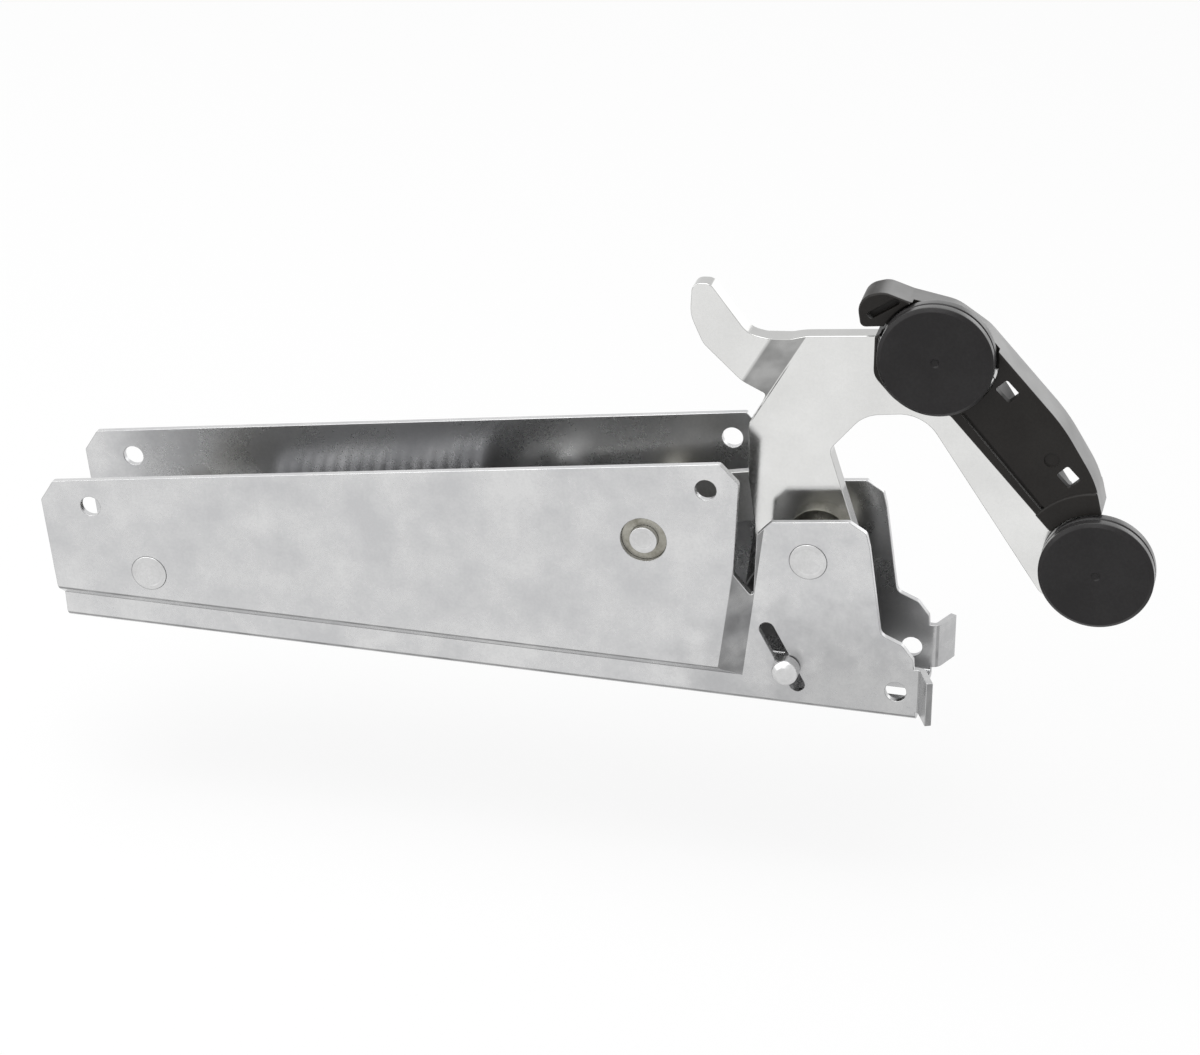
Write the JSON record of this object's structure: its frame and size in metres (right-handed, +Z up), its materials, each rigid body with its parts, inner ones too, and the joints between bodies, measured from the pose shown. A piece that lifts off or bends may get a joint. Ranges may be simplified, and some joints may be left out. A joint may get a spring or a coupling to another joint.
{
  "type": "oven door hinge",
  "caption": "Sprung oven door hinge: folded steel channel with a goose-necked arm that carries a black glide shoe and rollers and swings down a quarter turn.",
  "frame": {"origin": "underside of the channel's web, on its middle line, straight below the arm pivot", "axes": "+X along the channel from its left end towards the arm, +Z up out of the open side of the channel, -Y the side with the rollers"},
  "size_m": [0.2434, 0.0326, 0.095],
  "materials": {
    "zinc_sheet": "bright zinc plated, faintly cloudy",
    "arm_zinc": "bright zinc plated plate",
    "plate_steel": "zinc plated plate, satin",
    "rivet_steel": "zinc plated rivet",
    "turned_steel": "turned, zinc plated",
    "spring_wire": "oiled spring wire",
    "black_plastic": "moulded black plastic",
    "roller_plastic": "moulded black plastic, smoother"
  },
  "bodies": {
    "channel": {"channel": "zinc_sheet", "pivot_rivet": "rivet_steel", "front_pivot_spacer": "turned_steel", "rear_pivot_spacer": "turned_steel", "anchor_rivet": "rivet_steel", "front_anchor_spacer": "turned_steel", "rear_anchor_spacer": "turned_steel", "stop_pin": "rivet_steel", "front_stop_sleeve": "turned_steel", "rear_stop_sleeve": "turned_steel", "anchor_plate": "plate_steel", "tension_spring": "spring_wire"},
    "arm": {"arm_plate": "arm_zinc", "crank_pin": "turned_steel", "glide_shoe": "black_plastic", "upper_stud": "turned_steel", "lower_stud": "turned_steel"},
    "tie": {"rear_link": "plate_steel", "front_guide": "plate_steel", "spring_tongue": "plate_steel", "link_rivets": "rivet_steel"},
    "lock": {"lock_pin": "turned_steel", "lock_collar": "turned_steel"},
    "upper_roller": {"upper_roller": "roller_plastic"},
    "lower_roller": {"lower_roller": "roller_plastic"}
  },
  "joints": [
    {"name": "arm_hinge", "type": "hinge", "parent": "channel", "child": "arm", "pos_m": [0, 0, 0.0353], "axis": [0, 1, 0], "range_deg": [0, 90], "stiffness_Nm_per_rad": 0.2, "springref_deg": -28.65},
    {"name": "tie_slide", "type": "slide", "parent": "channel", "child": "tie", "axis": [0.9808, 0, 0.1949], "range_m": [0, 0.01627], "deforming": ["tension_spring"]},
    {"name": "lock_slide", "type": "slide", "parent": "channel", "child": "lock", "axis": [-0.4833, 0, 0.8755], "range_m": [-0.004, 0.009]},
    {"name": "upper_roller_spin", "type": "hinge", "parent": "arm", "child": "upper_roller", "pos_m": [0.0243, 0, 0.0822], "axis": [0, 1, 0], "continuous": true},
    {"name": "lower_roller_spin", "type": "hinge", "parent": "arm", "child": "lower_roller", "pos_m": [0.0598, 0, 0.0378], "axis": [0, 1, 0], "continuous": true}
  ],
  "couplings": [
    {"joint": "tie_slide", "follows": "arm_hinge", "m_per_rad": 0.010353}
  ]
}
